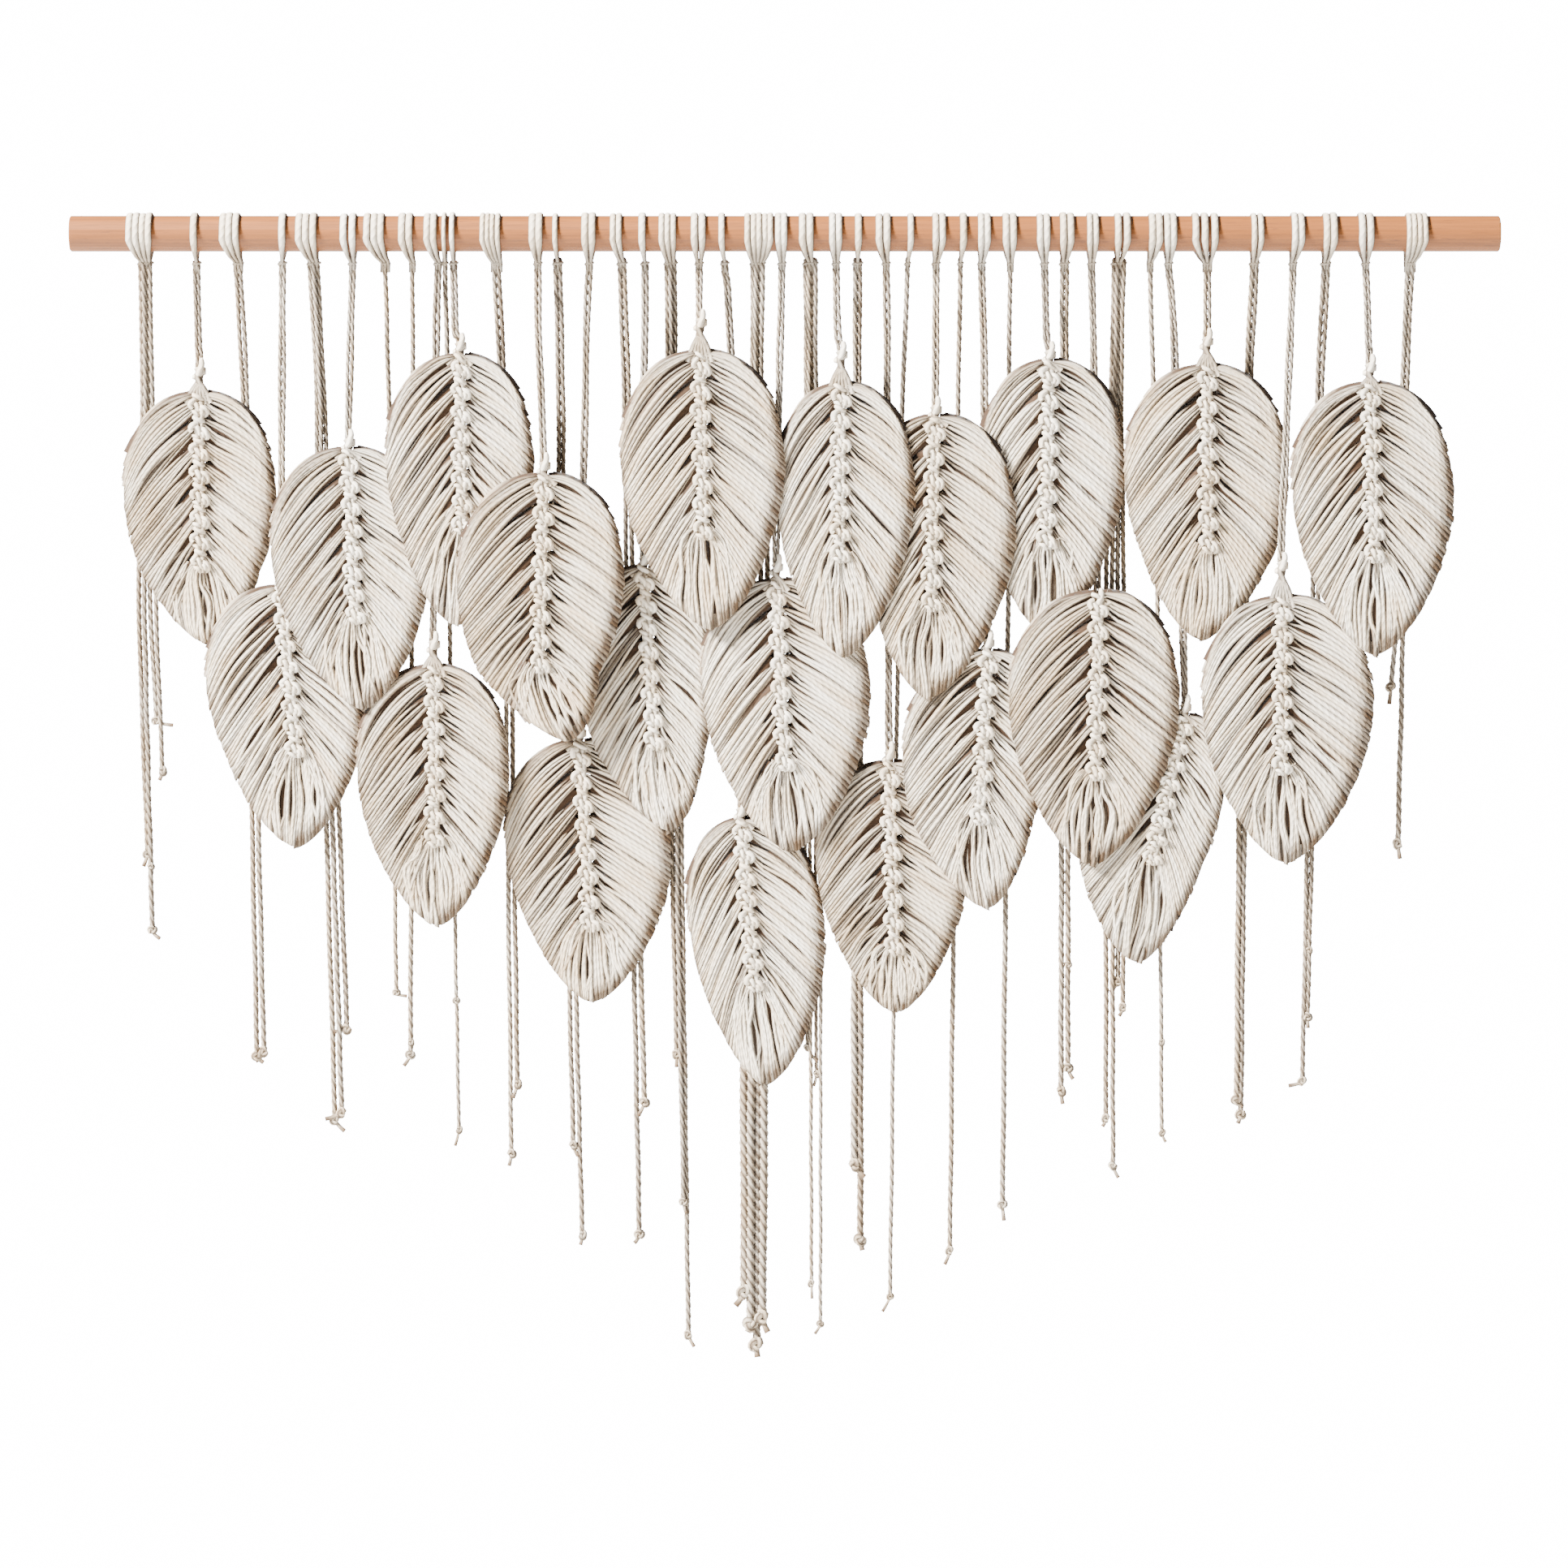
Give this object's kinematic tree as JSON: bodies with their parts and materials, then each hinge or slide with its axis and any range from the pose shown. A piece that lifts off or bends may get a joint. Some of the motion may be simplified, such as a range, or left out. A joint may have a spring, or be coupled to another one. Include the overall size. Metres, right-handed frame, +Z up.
{
  "type": "macrame wall hanging on a wooden rod",
  "caption": "Knotted cotton leaves with square-knot spines hang in staggered tiers from a round wooden rod, among long plain cords that end in small knots.",
  "frame": {"origin": "middle of the rod, on its axis", "axes": "+X along the rod to the viewer's right, +Y into the wall, +Z up"},
  "size_m": [1, 0.0434, 0.809],
  "materials": {
    "rod": "bare sanded beech, fine grain along the rod",
    "cord": "undyed ivory cotton, twisted cord and combed strands, matt"
  },
  "bodies": {
    "root": {"rod": "rod", "leaf_01": "cord", "leaf_02": "cord", "leaf_03": "cord", "leaf_04": "cord", "leaf_05": "cord", "leaf_06": "cord", "leaf_07": "cord", "leaf_08": "cord", "leaf_09": "cord", "leaf_10": "cord", "leaf_11": "cord", "leaf_12": "cord", "leaf_13": "cord", "leaf_14": "cord", "leaf_15": "cord", "leaf_16": "cord", "leaf_17": "cord", "leaf_18": "cord", "leaf_19": "cord", "leaf_20": "cord", "leaf_21": "cord", "drop_01": "cord", "drop_02": "cord", "drop_03": "cord", "drop_04": "cord", "drop_05": "cord", "drop_06": "cord", "drop_07": "cord", "drop_08": "cord", "drop_09": "cord", "drop_10": "cord", "drop_11": "cord", "drop_12": "cord", "drop_13": "cord", "drop_14": "cord", "drop_15": "cord", "drop_16": "cord", "drop_17": "cord", "drop_18": "cord", "drop_19": "cord", "drop_20": "cord", "drop_21": "cord", "drop_22": "cord"}
  },
  "joints": []
}
